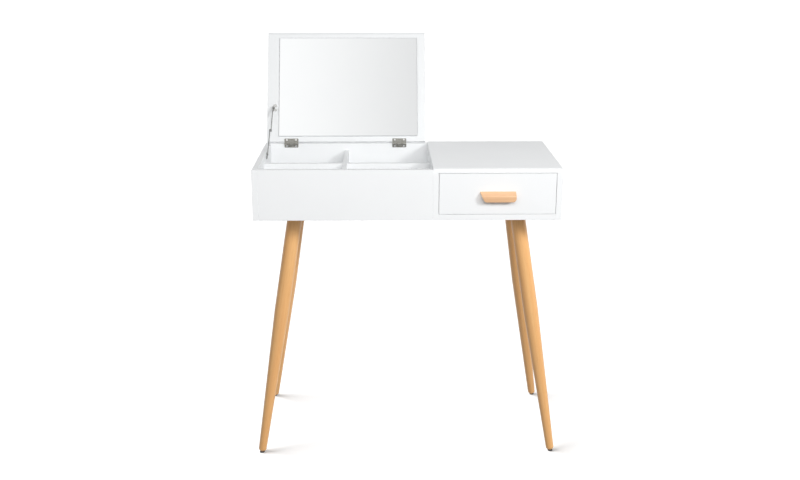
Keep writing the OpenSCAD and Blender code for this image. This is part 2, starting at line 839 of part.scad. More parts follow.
module drawer_side(on_right) {
    color(WHITE) placed() translate([bay_mid, 0, 0]) mirror([on_right ? 1 : 0, 0, 0])
        translate([-bay_mid, 0, 0]) difference() {
            board([box_left, board_t, side_low], [box_left + drawer_side_t, drawer_rear, side_high]);
            pegs(DRAWER_PEGS, drawer_peg_d, play);
            block([box_left + drawer_side_t - groove_depth, board_t - cut, groove_low],
                  [box_left + drawer_side_t + cut, drawer_rear + cut, groove_low + drawer_bottom_t]);
        }
}

module drawer_left_side() { drawer_side(false); }
module drawer_right_side() { drawer_side(true); }

module drawer_back() {
    color(WHITE) placed() difference() {
        board([box_left + drawer_side_t, drawer_rear - drawer_side_t, back_low],
              [box_right - drawer_side_t, drawer_rear, side_high]);
        pegs(DRAWER_PEGS, drawer_peg_d, play);
    }
}

module drawer_bottom() {
    tongue = groove_depth - groove_play;
    color(WHITE) placed() block(
        [box_left + drawer_side_t - tongue, board_t, groove_low],
        [box_right - drawer_side_t + tongue, drawer_rear, groove_low + drawer_bottom_t]);
}

module drawer_dowels() { color(BEECH) placed() pegs(DRAWER_PEGS, drawer_peg_d); }

// Section of the pull: x is the distance out from the drawer, y the height from the top.
// Behind the front a hollow for the fingers opens downwards.
module pull_section() {
    nose_r = 4;
    edge = 1;
    foot = 4;
    roof = 13.5;
    hollow_w = pull_out - pull_lip - foot;
    nose = [for (a = [90:-15:0]) [pull_out + nose_r * (cos(a) - 1), nose_r * (sin(a) - 1) - pull_fall]];
    difference() {
        polygon(concat([[0, 0]], nose,
                       [[pull_out, edge - pull_h], [pull_out - edge, -pull_h], [0, -pull_h]]));
        translate([foot + hollow_w / 2, -roof - hollow_w / 2]) circle(d = hollow_w);
        translate([foot, -pull_h - cut]) square([hollow_w, pull_h + cut - roof - hollow_w / 2]);
    }
}

// Outline of the pull seen from the front: the left end slants and the lower corners are round
module pull_outline() {
    end_l = norm([pull_slant, pull_h]);
    end_x = (pull_end_round * end_l + (pull_h - pull_end_round) * pull_slant) / pull_h;
    difference() {
        polygon([[0, 0], [pull_w, 0], [pull_w, -pull_h], [pull_slant, -pull_h]]);
        outside_corner([pull_w - pull_round, pull_round - pull_h], pull_round, [1, 0]);
        outside_corner([end_x, pull_end_round - pull_h], pull_end_round, [-pull_h, -pull_slant] / end_l);
    }
}

// What a rounding cuts off a lower corner; side points from the middle of the rounding to the end face
module outside_corner(middle, r, side) {
    reach = 2 * r;
    translate(middle) difference() {
        polygon([[0, 0], side * reach, (side + [0, -1]) * reach, [0, -reach]]);
        circle(r = r);
    }
}

module pull() {
    color(BEECH) placed() translate([pull_x, 0, pull_top]) difference() {
        intersection() {
            rotate([90, 0, 0]) linear_extrude(pull_out + cut) pull_outline();
            rotate([90, 0, -90]) mirror([0, 0, 1]) linear_extrude(pull_w) pull_section();
        }
        for (x = pull_xs) translate([pull_mid - pull_x + x, -pull_screw_in - play, pull_screw_z - pull_top])
            rotate(into_rear) cylinder(d = pull_screw_d + 2 * play, h = pull_screw_in + cut);
    }
}

module pull_screws() {
    color(ZINC) placed() for (x = pull_xs) translate([pull_mid + x, 0, pull_screw_z]) rotate(into_rear) {
        translate([0, 0, -pull_screw_in]) cylinder(d = pull_screw_d, h = pull_screw_in + board_t + eps);
        translate([0, 0, board_t]) cylinder(d = pull_head_d, h = pull_head_t);
    }
}

// Slide on the drawer's side: a web with a flange that runs over the front roller
module slide(on_right) {
    web_x = box_left - sheet_t;
    flange_x = bay_x + 2 * sheet_t;
    flange_rear = slide_roller_y - roller_d / 2 - runner_back;
    color(ZINC) placed() translate([bay_mid, 0, 0]) mirror([on_right ? 1 : 0, 0, 0])
        translate([-bay_mid, 0, 0]) {
            block([web_x, board_t, runner_z - slide_half], [box_left, drawer_rear, runner_z + slide_half]);
            block([flange_x, board_t, runner_z - sheet_t / 2],
                  [web_x + eps, flange_rear, runner_z + sheet_t / 2]);
            rod_x(roller_axle_d, flange_x, web_x + eps, slide_roller_y, runner_z);
        }
}

module slide_left() { slide(false); }
module slide_right() { slide(true); }

module slide_rollers() {
    color(WHITE) placed() roller_pair(bay_x + sheet_t + slide_play, slide_roller_y, runner_z, roller_d);
}

left_side();
right_side();
partition();
left_bottom();
right_bottom();
back_panel();
left_front_panel();
fixed_top();
main_divider();
cross_divider();
box_dowels();
runner_left();
runner_right();
runner_rollers();
runner_screws();
leg_front_left();
leg_front_right();
leg_rear_left();
leg_rear_right();
pad_front_left();
pad_front_right();
pad_rear_left();
pad_rear_right();
leg_bolts();
hinge_wall_leaf_left();
hinge_wall_leaf_right();
hinge_pins();
hinge_wall_screws();
stay_wall_bracket();
stay_wall_pin();
stay_wall_screws();
lid_panel();
mirror_glass();  // mirror
hinge_lid_leaf_left();
hinge_lid_leaf_right();
hinge_lid_screws();
stay_lid_bracket();
stay_lid_pin();
stay_lid_screws();
stay_lower_link();
stay_knee_rivet();
stay_upper_link();
stay_knee_cap();
drawer_front();
drawer_left_side();
drawer_right_side();
drawer_back();
drawer_bottom();
drawer_dowels();
pull();
pull_screws();
slide_left();
slide_right();
slide_rollers();
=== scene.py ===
"""Dresses the flip top vanity table and sets it in a plain white studio.

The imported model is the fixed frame. Boards, legs and fittings keep their solids and get
their finish here; the mirror and the pull are made again in finer form. All lengths are
metres.
"""

import logging
import math
from dataclasses import dataclass
from enum import Enum
from typing import ClassVar, Iterable, Optional, Protocol

import bmesh
import bpy
from mathutils import Euler, Matrix, Vector


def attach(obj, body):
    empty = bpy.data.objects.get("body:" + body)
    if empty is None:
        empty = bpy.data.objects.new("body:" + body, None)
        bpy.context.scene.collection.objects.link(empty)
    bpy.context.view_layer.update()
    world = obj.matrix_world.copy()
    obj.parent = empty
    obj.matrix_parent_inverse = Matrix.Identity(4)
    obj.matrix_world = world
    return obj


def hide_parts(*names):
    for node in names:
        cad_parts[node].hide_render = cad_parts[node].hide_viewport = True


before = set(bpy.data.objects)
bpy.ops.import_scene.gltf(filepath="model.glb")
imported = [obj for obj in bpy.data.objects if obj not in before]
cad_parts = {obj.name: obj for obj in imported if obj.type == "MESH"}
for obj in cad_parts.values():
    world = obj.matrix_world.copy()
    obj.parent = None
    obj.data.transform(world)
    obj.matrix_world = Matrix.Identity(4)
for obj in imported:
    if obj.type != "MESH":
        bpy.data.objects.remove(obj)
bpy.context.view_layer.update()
LOG = logging.getLogger("vanity_table")
MM = 0.001
AXES = range(3)

Triple = tuple[float, float, float]
Colour = Triple
Span = tuple[float, float]


class Axis(Enum):
    """The three directions of a piece's own frame."""

    X = 0
    Y = 1
    Z = 2


# ---------------------------------------------------------------- frames of pieces


def mean_point(points: Iterable[Vector]) -> Vector:
    """Finds the middle of some points.

    Args:
        points: the points.

    Returns:
        Their mean.
    """
    kept = list(points)
    return sum(kept, Vector()) / len(kept)


@dataclass(frozen=True)
class PieceFrame:
    """The place of a piece: its middle, its turn, and half its size along its own axes."""

    foot_slice: ClassVar[float] = 6 * MM
    top_slice: ClassVar[float] = 1 * MM

    middle: Vector
    turn: Matrix
    half: Vector

    @classmethod
    def of(cls, node: str, turn: Optional[Matrix] = None) -> "PieceFrame":
        """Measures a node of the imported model.

        Args:
            node: name of the node.
            turn: 3x3 turn of the node's own axes, or None for the axes of the table.

        Returns:
            The frame that holds the node tightly.
        """
        turn = turn or Matrix.Identity(3)
        points = [turn.transposed() @ v.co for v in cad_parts[node].data.vertices]
        low = Vector(min(p[i] for p in points) for i in AXES)
        high = Vector(max(p[i] for p in points) for i in AXES)
        return cls(turn @ ((low + high) / 2), turn, (high - low) / 2)

    @classmethod
    def of_leg(cls, node: str) -> "PieceFrame":
        """Measures a splayed leg, with Z along its axis.

        Args:
            node: name of the leg's node.

        Returns:
            The frame that holds the leg.
        """
        points = [v.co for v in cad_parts[node].data.vertices]
        low_z, high_z = min(p.z for p in points), max(p.z for p in points)
        foot = mean_point(p for p in points if p.z < low_z + cls.foot_slice)
        top = mean_point(p for p in points if p.z > high_z - cls.top_slice)
        turn = (top - foot).to_track_quat("Z", "Y").to_matrix()
        return cls.of(node, turn)

    @property
    def thickness_axis(self) -> int:
        """Index of the axis along which the piece is thinnest."""
        return min(AXES, key=lambda i: self.half[i])


# ---------------------------------------------------------------- node trees


@dataclass(frozen=True)
class Noise:
    """How fine a noise is, with the number and share of its finer layers and its swirl."""

    scale: float = 1.0
    detail: float = 2.0
    roughness: float = 0.5
    swirl: float = 0.0


@dataclass(frozen=True)
class Relief:
    """A fine relief: its depth in metres and the share of it that shows."""

    depth: float
    strength: float


# Ranges of a noise's value over which a finish changes, and the whole of a share
MIDDLE: Span = (0.3, 0.7)
UPPER: Span = (0.35, 0.7)
UNIT: Span = (0.0, 1.0)


class Tree:
    """A node tree while its nodes are laid out."""

    def __init__(self, tree: bpy.types.NodeTree) -> None:
        """Takes over a node tree."""
        self.tree = tree

    def clear(self) -> None:
        """Takes all nodes away."""
        self.tree.nodes.clear()

    def add(self, kind: str, **values: object) -> bpy.types.Node:
        """Adds a node.

        Args:
            kind: type name of the node.
            values: properties of the node.

        Returns:
            The node.
        """
        node = self.tree.nodes.new(kind)
        for key, value in values.items():
            setattr(node, key, value)
        return node

    def join(self, source: bpy.types.NodeSocket, target: bpy.types.NodeSocket) -> None:
        """Links one socket to another."""
        self.tree.links.new(source, target)

    def feed(self, value: object, target: bpy.types.NodeSocket) -> None:
        """Links a socket, or sets a plain value.

        Args:
            value: socket or plain value.
            target: socket that gets it.
        """
        if isinstance(value, bpy.types.NodeSocket):
            self.join(value, target)
        else:
            target.default_value = value

    def calc(self, operation: str, *values: object) -> bpy.types.NodeSocket:
        """Adds a sum on numbers.

        Args:
            operation: name of the operation.
            values: sockets or numbers, as many as the operation takes.

        Returns:
            The result.
        """
        node = self.add("ShaderNodeMath", operation=operation)
        for socket, value in zip(node.inputs, values):
            self.feed(value, socket)
        return node.outputs[0]

    def spread(self, value: bpy.types.NodeSocket, span: Span, onto: Span = UNIT,
               shape: str = "LINEAR") -> bpy.types.NodeSocket:
        """Maps one range of a value onto another, clamped.

        Args:
            value: the value.
            span: its range.
            onto: what the ends of the range become.
            shape: way of going from one end to the other.

        Returns:
            The mapped value.
        """
        node = self.add("ShaderNodeMapRange", interpolation_type=shape)
        self.join(value, node.inputs["Value"])
        for key, number in zip(("From Min", "From Max", "To Min", "To Max"), (*span, *onto)):
            node.inputs[key].default_value = number
        return node.outputs["Result"]

    def seen_share(self) -> bpy.types.NodeSocket:
        """Tells rays that see the surface from light that spreads from it.

        Returns:
            1 for the camera's rays and for reflections, otherwise 0.
        """
        path = self.add("ShaderNodeLightPath")
        seen = path.outputs["Is Camera Ray"]
        for name in ("Is Glossy Ray", "Is Transmission Ray"):
            seen = self.calc("MAXIMUM", seen, path.outputs[name])
        return seen

    def finish_as(self, kind: str, unseen: bpy.types.NodeSocket,
                  seen: bpy.types.NodeSocket) -> None:
        """Ends the tree with one shader for light that spreads and one for rays that see.

        Args:
            kind: type name of the output node.
            unseen: shader that light meets.
            seen: shader that the camera and reflections meet.
        """
        either = self.add("ShaderNodeMixShader")
        for source, target in zip((self.seen_share(), unseen, seen), either.inputs):
            self.join(source, target)
        self.join(either.outputs[0], self.add(kind).inputs["Surface"])


class Recipe(Tree):
    """One material while its nodes are laid out."""

    def __init__(self, name: str, place: PieceFrame) -> None:
        """Starts a material whose textures lie in a piece's own frame.

        Args:
            name: name of the material.
            place: frame of the piece.
        """
        self.material = bpy.data.materials.new(name)
        self.material.use_nodes = True
        super().__init__(self.material.node_tree)
        self.surface = self.tree.nodes["Principled BSDF"]
        coordinates = self.add("ShaderNodeTexCoord")
        mapping = self.add("ShaderNodeMapping", vector_type="TEXTURE")
        mapping.inputs["Location"].default_value = place.middle
        mapping.inputs["Rotation"].default_value = place.turn.to_euler("XYZ")
        self.join(coordinates.outputs["Object"], mapping.inputs["Vector"])
        self.place = mapping.outputs["Vector"]

    def set(self, **values: object) -> None:
        """Sets plain values on the surface shader, with blanks in socket names as underscores."""
        for key, value in values.items():
            self.surface.inputs[key.replace("_", " ")].default_value = value

    def stretched(self, scale: Triple, shift: Triple = (0, 0, 0)) -> bpy.types.NodeSocket:
        """Stretches the piece's own frame.

        Args:
            scale: factor along each axis.
            shift: shift after the scaling.

        Returns:
            The stretched place.
        """
        node = self.add("ShaderNodeVectorMath", operation="MULTIPLY_ADD")
        for value, socket in zip((self.place, scale, shift), node.inputs):
            self.feed(value, socket)
        return node.outputs[0]

    def noise(self, place: bpy.types.NodeSocket, kind: Noise) -> bpy.types.NodeSocket:
        """Adds a noise and gives its value.

        Args:
            place: where to read it.
            kind: how fine it is.

        Returns:
            The noise, about 0.5.
        """
        node = self.add("ShaderNodeTexNoise")
        for key, value in (("Scale", kind.scale), ("Detail", kind.detail),
                           ("Roughness", kind.roughness), ("Distortion", kind.swirl)):
            node.inputs[key].default_value = value
        self.join(place, node.inputs["Vector"])
        return node.outputs["Fac"]

    def blend(self, share: bpy.types.NodeSocket, first: object,
              second: object) -> bpy.types.NodeSocket:
        """Blends two colours.

        Args:
            share: share of the second colour.
            first: colour or socket.
            second: colour or socket.

        Returns:
            The blended colour.
        """
        node = self.add("ShaderNodeMix", data_type="RGBA")
        self.join(share, node.inputs[0])
        for socket, value in zip(node.inputs[6:8], (first, second)):
            self.feed((*value, 1.0) if isinstance(value, tuple) else value, socket)
        return node.outputs[2]

    def colour(self, socket: bpy.types.NodeSocket) -> None:
        """Makes a socket the surface's colour."""
        self.join(socket, self.surface.inputs["Base Color"])

    def roughness(self, socket: bpy.types.NodeSocket) -> None:
        """Makes a socket the surface's roughness."""
        self.join(socket, self.surface.inputs["Roughness"])

    def relief(self, height: bpy.types.NodeSocket, kind: Relief) -> None:
        """Gives the surface a fine relief.

        Args:
            height: height between 0 and 1.
            kind: how deep it is.
        """
        bump = self.add("ShaderNodeBump")
        bump.inputs["Strength"].default_value = kind.strength
        bump.inputs["Distance"].default_value = kind.depth
        self.join(height, bump.inputs["Height"])
        self.join(bump.outputs["Normal"], self.surface.inputs["Normal"])


# ---------------------------------------------------------------- finishes


class Finish(Protocol):
    """Anything that makes a material for a piece."""

    def make(self, name: str, place: PieceFrame) -> bpy.types.Material:
        """Makes the material, laid out in the piece's own frame."""


@dataclass(frozen=True)
class Laminate:
    """Satin white laminate, with the fine seam of the edge band round each broad face."""

    white: Colour
    shade: Colour
    seam: Colour
    band: float = 0.9 * MM
    line: float = 0.09 * MM
    cloud: Noise = Noise(9.0, 3.0)
    grain: Noise = Noise(1500.0, 2.0, 0.6)
    wave: Noise = Noise(60.0, 1.0)
    wave_share: float = 0.7
    rough: Span = (0.52, 0.60)
    relief: Relief = Relief(0.03 * MM, 0.5)
    shine: float = 0.30

    def make(self, name: str, place: PieceFrame) -> bpy.types.Material:
        """Makes the finish for one board.

        Args:
            name: name of the material.
            place: frame of the board.

        Returns:
            The material.
        """
        recipe = Recipe(name, place)
        cloud = recipe.noise(recipe.place, self.cloud)
        tone = recipe.blend(recipe.spread(cloud, MIDDLE), self.white, self.shade)
        split = recipe.add("ShaderNodeSeparateXYZ")
        recipe.join(recipe.place, split.inputs[0])
        gaps = [recipe.calc("SUBTRACT", place.half[i], recipe.calc("ABSOLUTE", split.outputs[i]))
                for i in AXES if i != place.thickness_axis]
        on_seam = recipe.calc("COMPARE", recipe.calc("MINIMUM", *gaps), self.band, self.line)
        recipe.colour(recipe.blend(on_seam, tone, self.seam))
        grain = recipe.noise(recipe.place, self.grain)
        wave = recipe.noise(recipe.place, self.wave)
        recipe.roughness(recipe.spread(wave, MIDDLE, self.rough))
        height = recipe.calc("MULTIPLY_ADD", wave, self.wave_share, grain)
        recipe.relief(height, self.relief)
        recipe.set(Specular_IOR_Level=self.shine)
        return recipe.material


@dataclass(frozen=True)
class Wood:
    """Lacquered wood with its grain along one axis of the piece."""

    light: Colour
    dark: Colour
    pore: Colour
    along: Axis
    ring_step: float = 5.0 * MM
    pore_share: float = 0.35
    lacquer: float = 0.38
    lacquer_spread: float = 0.12
    coat: float = 0.25
    coat_rough: float = 0.28
    shine: float = 0.4
    growth: Noise = Noise(1.0, 3.0, 0.55, 0.3)
    growth_across: float = 55.0
    growth_along: float = 2.2
    growth_span: Span = (0.32, 0.68)
    growth_share: float = 0.55
    rings: Noise = Noise()
    rings_along: float = 4.0
    rings_shift: float = 3.0
    rings_span: Span = (0.35, 0.65)
    rings_share: float = 0.45
    fibre: Noise = Noise(1.0, 2.0, 0.6)
    fibre_across: float = 1500.0
    fibre_along: float = 34.0
    fibre_shift: float = 7.0
    pore_span: Span = (0.56, 0.70)
    relief: Relief = Relief(0.04 * MM, 0.35)

    def make(self, name: str, place: PieceFrame, seed: float = 0.0) -> bpy.types.Material:
        """Makes the finish for one piece.

        Args:
            name: name of the material.
            place: frame of the piece.
            seed: shift that gives each piece its own grain.

        Returns:
            The material.
        """
        recipe = Recipe(name, place)
        growth_place = recipe.stretched(self._scale(self.growth_across, self.growth_along),
                                        (seed, 0, seed))
        rings_place = recipe.stretched(self._scale(1 / self.ring_step, self.rings_along),
                                       (0, seed, self.rings_shift))
        fibre_place = recipe.stretched(self._scale(self.fibre_across, self.fibre_along),
                                       (seed, self.fibre_shift, 0))
        growth = recipe.noise(growth_place, self.growth)
        rings = recipe.noise(rings_place, self.rings)
        fibre = recipe.noise(fibre_place, self.fibre)
        grown = recipe.spread(growth, self.growth_span, (0.0, self.growth_share))
        ringed = recipe.spread(rings, self.rings_span, (0.0, self.rings_share))
        tone = recipe.blend(recipe.calc("ADD", grown, ringed), self.light, self.dark)
        pores = recipe.spread(fibre, self.pore_span, (0.0, self.pore_share))
        recipe.colour(recipe.blend(pores, tone, self.pore))
        rough = (self.lacquer, self.lacquer + self.lacquer_spread)
        recipe.roughness(recipe.spread(fibre, MIDDLE, rough))
        recipe.relief(fibre, self.relief)
        recipe.set(Coat_Weight=self.coat, Coat_Roughness=self.coat_rough,
                   Specular_IOR_Level=self.shine)
        return recipe.material

    def _scale(self, across: float, along: float) -> Triple:
        """Factors along the three axes, with the slow one along the grain."""
        return tuple(along if i == self.along.value else across for i in AXES)


@dataclass(frozen=True)
class BrushedMetal:
    """Plated metal with fine scratches along the X axis of the piece."""

    tone: Colour
    dull: Colour
    smooth: float = 0.26
    rough: float = 0.40
    scratch_scale: Triple = (60.0, 4200.0, 4200.0)
    scratches: Noise = Noise(1.0, 3.0, 0.6)
    stain: Noise = Noise(160.0, 3.0, 0.6)
    relief: Relief = Relief(0.012 * MM, 0.5)

    def make(self, name: str, place: PieceFrame) -> bpy.types.Material:
        """Makes the finish.

        Args:
            name: name of the material.
            place: frame of the piece.

        Returns:
            The material.
        """
        recipe = Recipe(name, place)
        scratches = recipe.noise(recipe.stretched(self.scratch_scale), self.scratches)
        stain = recipe.noise(recipe.place, self.stain)
        recipe.colour(recipe.blend(recipe.spread(stain, UPPER), self.tone, self.dull))
        recipe.roughness(recipe.spread(scratches, MIDDLE, (self.smooth, self.rough)))
        recipe.relief(scratches, self.relief)
        recipe.set(Metallic=1.0)
        return recipe.material


@dataclass(frozen=True)
class ZincPlate:
    """Zinc plated sheet with its crystal pattern."""

    pale: Colour = (0.66, 0.68, 0.70)
    grey: Colour = (0.50, 0.52, 0.54)
    crystal_scale: float = 320.0
    rough: Span = (0.30, 0.48)
    grain: Noise = Noise(900.0)
    relief: Relief = Relief(0.01 * MM, 0.4)

    def make(self, name: str, place: PieceFrame) -> bpy.types.Material:
        """Makes the finish.

        Args:
            name: name of the material.
            place: frame of the piece.

        Returns:
            The material.
        """
        recipe = Recipe(name, place)
        crystals = recipe.add("ShaderNodeTexVoronoi", feature="F1")
        crystals.inputs["Scale"].default_value = self.crystal_scale
        recipe.join(recipe.place, crystals.inputs["Vector"])
        split = recipe.add("ShaderNodeSeparateColor")
        recipe.join(crystals.outputs["Color"], split.inputs[0])
        facet = split.outputs[0]
        recipe.colour(recipe.blend(facet, self.pale, self.grey))
        recipe.roughness(recipe.spread(facet, UNIT, self.rough))
        recipe.relief(recipe.noise(recipe.place, self.grain), self.relief)
        recipe.set(Metallic=1.0)
        return recipe.material


@dataclass(frozen=True)
class Moulded:
    """Moulded plastic or rubber with a fine matt grain."""

    tone: Colour
    worn: Colour
    rough: float
    rough_spread: float = 0.06
    cloud: Noise = Noise(140.0, 3.0)
    grain: Noise = Noise(2600.0, 2.0, 0.6)
    relief: Relief = Relief(0.04 * MM, 0.6)

    def make(self, name: str, place: PieceFrame) -> bpy.types.Material:
        """Makes the finish.

        Args:
            name: name of the material.
            place: frame of the piece.

        Returns:
            The material.
        """
        recipe = Recipe(name, place)
        cloud = recipe.noise(recipe.place, self.cloud)
        grain = recipe.noise(recipe.place, self.grain)
        recipe.colour(recipe.blend(recipe.spread(cloud, UPPER), self.tone, self.worn))
        rough = (self.rough - self.rough_spread, self.rough + self.rough_spread)
        recipe.roughness(recipe.spread(grain, MIDDLE, rough))
        recipe.relief(grain, self.relief)
        return recipe.material


@dataclass(frozen=True)
class Silvering:
    """The silvered face of a mirror, with a faint haze."""

    tone: Colour = (0.985, 0.996, 1.0)
    haze: Colour = (0.977, 0.990, 0.996)
    rough: Span = (0.012, 0.022)
    cloud: Noise = Noise(14.0)

    def make(self, name: str, place: PieceFrame) -> bpy.types.Material:
        """Makes the finish.

        Args:
            name: name of the material.
            place: frame of the mirror.

        Returns:
            The material.
        """
        recipe = Recipe(name, place)
        cloud = recipe.noise(recipe.place, self.cloud)
        recipe.colour(recipe.blend(recipe.spread(cloud, MIDDLE), self.tone, self.haze))
        recipe.roughness(recipe.spread(cloud, MIDDLE, self.rough))
        recipe.set(Metallic=1.0)
        return recipe.material


@dataclass(frozen=True)
class GroundGlass:
    """The ground edge of a mirror."""

    tone: Colour = (0.80, 0.835, 0.84)
    pale: Colour = (0.86, 0.89, 0.895)
    rough: Span = (0.32, 0.52)
    frost: Noise = Noise(2200.0, 3.0, 0.7)
    relief: Relief = Relief(0.02 * MM, 0.5)

    def make(self, name: str, place: PieceFrame) -> bpy.types.Material:
        """Makes the finish.

        Args:
            name: name of the material.
            place: frame of the mirror.

        Returns:
            The material.
        """
        recipe = Recipe(name, place)
        frost = recipe.noise(recipe.place, self.frost)
        recipe.colour(recipe.blend(recipe.spread(frost, MIDDLE), self.tone, self.pale))
        recipe.roughness(recipe.spread(frost, MIDDLE, self.rough))
        recipe.relief(frost, self.relief)
        return recipe.material


BOX_WHITE = Laminate((0.893, 0.905, 0.912), (0.880, 0.892, 0.900), (0.85, 0.862, 0.87))
# The lid's laminate is the box's white made a few per cent darker as painted shade, because the
# open lid faces the lamps more than the box does.
LID_WHITE_PAINTED_SHADE = Laminate((0.825, 0.839, 0.845), (0.813, 0.826, 0.834), (0.785, 0.80, 0.806))
LEG_WOOD = Wood((0.95, 0.55, 0.225), (0.87, 0.445, 0.165), (0.62, 0.30, 0.10), Axis.Z)
PULL_WOOD = Wood((0.865, 0.555, 0.33), (0.805, 0.485, 0.268), (0.70, 0.39, 0.195), Axis.X,
                 ring_step=2.4 * MM, pore_share=0.22, coat=0.15)
DOWEL_WOOD = Wood((0.74, 0.55, 0.33), (0.60, 0.41, 0.22), (0.45, 0.29, 0.15), Axis.Z,
                  ring_step=2.0 * MM, lacquer=0.6, coat=0.0)
LEAF_NICKEL = BrushedMetal((0.36, 0.355, 0.325), (0.27, 0.265, 0.24), smooth=0.34, rough=0.48)
# Hinge pins are nickel made near black: painted shade for the dark line along each hinge knuckle.
PIN_NICKEL_PAINTED_SHADE = BrushedMetal((0.13, 0.13, 0.12), (0.09, 0.09, 0.08))
SCREW_NICKEL = BrushedMetal((0.92, 0.92, 0.91), (0.82, 0.82, 0.80), smooth=0.20, rough=0.30)
LINK_NICKEL = BrushedMetal((0.30, 0.30, 0.295), (0.22, 0.22, 0.215), smooth=0.28, rough=0.40)
EAR_NICKEL = BrushedMetal((0.42, 0.42, 0.41), (0.32, 0.32, 0.31), smooth=0.28, rough=0.40)
ZINC = ZincPlate()
RUBBER = Moulded((0.030, 0.028, 0.027), (0.055, 0.050, 0.047), 0.72)
NYLON = Moulded((0.80, 0.80, 0.78), (0.74, 0.74, 0.72), 0.42,
                grain=Noise(900.0, 2.0, 0.6), relief=Relief(0.01 * MM, 0.6))
SILVERING = Silvering()
GROUND_GLASS = GroundGlass()


def dress(node: str, finish: bpy.types.Material) -> None:
    """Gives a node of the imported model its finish.

    Args:
        node: name of the node.
        finish: material for all of it.
    """
    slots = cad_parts[node].data.materials
    slots.clear()
    slots.append(finish)
    LOG.info("%s: %s", node, finish.name)


def dress_each(nodes: Iterable[str], finish: Finish, turn: Optional[Matrix] = None) -> None:
    """Dresses several nodes, each with the finish laid out in its own frame.

    Args:
        nodes: names of the nodes.
        finish: finish that makes the materials.
        turn: turn of the nodes' own axes, or None for the axes of the table.
    """
    for node in nodes:
        dress(node, finish.make(f"{node}_finish", PieceFrame.of(node, turn)))


# ---------------------------------------------------------------- objects


def new_object(name: str, mesh: bmesh.types.BMesh) -> bpy.types.Object:
    """Turns finished mesh data into an object of the scene.

    Args:
        name: name of the object.
        mesh: the mesh, which is used up.

    Returns:
        The object.
    """
    data = bpy.data.meshes.new(name)
    mesh.to_mesh(data)
    mesh.free()
    made = bpy.data.objects.new(name, data)
    bpy.context.scene.collection.objects.link(made)
    return made


def apply_modifiers(piece: bpy.types.Object) -> None:
    """Turns a piece's modifiers into plain mesh.

    Args:
        piece: the piece.
    """
    graph = bpy.context.evaluated_depsgraph_get()
    made = bpy.data.meshes.new_from_object(piece.evaluated_get(graph))
    piece.modifiers.clear()
    piece.data = made
    made.name = piece.name


# ---------------------------------------------------------------- the table


@dataclass(frozen=True)
class Box:
    """The box with its boards, dividers, dowels and drawer runners."""

    boards: tuple[str, ...] = ("left_side", "right_side", "partition", "left_bottom",
                               "right_bottom", "back_panel", "left_front_panel",
                               "main_divider", "cross_divider", "fixed_top")

    def build(self) -> None:
        """Dresses the boards and what holds them together."""
        dress_each(self.boards, BOX_WHITE)
        dress_each(("box_dowels",), DOWEL_WOOD)
        dress_each(("runner_left", "runner_right", "runner_screws"), ZINC)
        dress_each(("runner_rollers",), NYLON)


@dataclass(frozen=True)
class Legs:
    """Four turned legs with their pads and bolts."""

    corners: tuple[str, ...] = ("front_left", "front_right", "rear_left", "rear_right")
    seed_step: float = 13.7

    def build(self) -> None:
        """Dresses each leg with grain along its own axis."""
        for index, corner in enumerate(self.corners):
            node = f"leg_{corner}"
            place = PieceFrame.of_leg(node)
            dress(node, LEG_WOOD.make(f"{node}_finish", place, self.seed_step * index))
            dress(f"pad_{corner}", RUBBER.make(f"pad_{corner}_finish", place))
        dress_each(("leg_bolts",), ZINC)


@dataclass(frozen=True)
class Lid:
    """The open lid with its mirror, hinges and folding stay."""

    lean_deg: float = 22.7
    mirror_bevel: float = 0.9 * MM
    mirror_edge_fall: float = 0.9 * MM
    face_slot: int = 0
    edge_slot: int = 1

    @property
    def turn(self) -> Matrix:
        """Turn of the open lid's own axes."""
        return Matrix.Rotation(math.radians(-90 - self.lean_deg), 3, "X")

    def build(self) -> None:
        """Builds the mirror and dresses the rest."""
        # The lid gets the darker white: painted shade against the extra light it catches.
        dress_each(("lid_panel",), LID_WHITE_PAINTED_SHADE, self.turn)
        mirror = self.mirror_plate()
        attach(mirror, "lid")
        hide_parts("mirror")
        LOG.info("%s: %d faces", mirror.name, len(mirror.data.polygons))
        dress_each(("hinge_lid_leaf_left", "hinge_lid_leaf_right", "hinge_wall_leaf_left",
                    "hinge_wall_leaf_right"), LEAF_NICKEL)
        # Near black pins give painted shade along the hinge knuckles.
        dress_each(("hinge_pins",), PIN_NICKEL_PAINTED_SHADE)
        dress_each(("hinge_lid_screws", "hinge_wall_screws"), SCREW_NICKEL)
        dress_each(("stay_lid_bracket", "stay_lid_screws", "stay_wall_screws"), EAR_NICKEL)
        dress_each(("stay_lid_pin", "stay_wall_bracket", "stay_wall_pin", "stay_lower_link",
                    "stay_knee_rivet", "stay_upper_link", "stay_knee_cap"), LINK_NICKEL)

    def mirror_plate(self) -> bpy.types.Object:
        """Builds the mirror as a glass plate with a ground edge.

        Returns:
            The mirror.
        """
        place = PieceFrame.of("mirror", self.turn)
        width, depth, half_t = place.half
        rows = ((0.0, half_t), (0.0, self.mirror_edge_fall - half_t), (self.mirror_bevel, -half_t))
        corners = ((-1, -1), (1, -1), (1, 1), (-1, 1))
        mesh = bmesh.new()
        loops = [[mesh.verts.new((side * (width - inset), end * (depth - inset), height))
                  for side, end in corners] for inset, height in rows]
        mesh.faces.new(loops[0]).material_index = self.edge_slot
        mesh.faces.new(loops[-1][::-1]).material_index = self.face_slot
        for low, high in zip(loops, loops[1:]):
            for i in range(len(corners)):
                wall = mesh.faces.new((low[i], low[i - 1], high[i - 1], high[i]))
                wall.material_index = self.edge_slot
        bmesh.ops.recalc_face_normals(mesh, faces=mesh.faces)
        piece = new_object("mirror_plate", mesh)
        piece.data.transform(Matrix.Translation(place.middle) @ place.turn.to_4x4())
        piece.data.materials.append(SILVERING.make("mirror_silvering", place))
        piece.data.materials.append(GROUND_GLASS.make("mirror_ground_edge", place))
        return piece


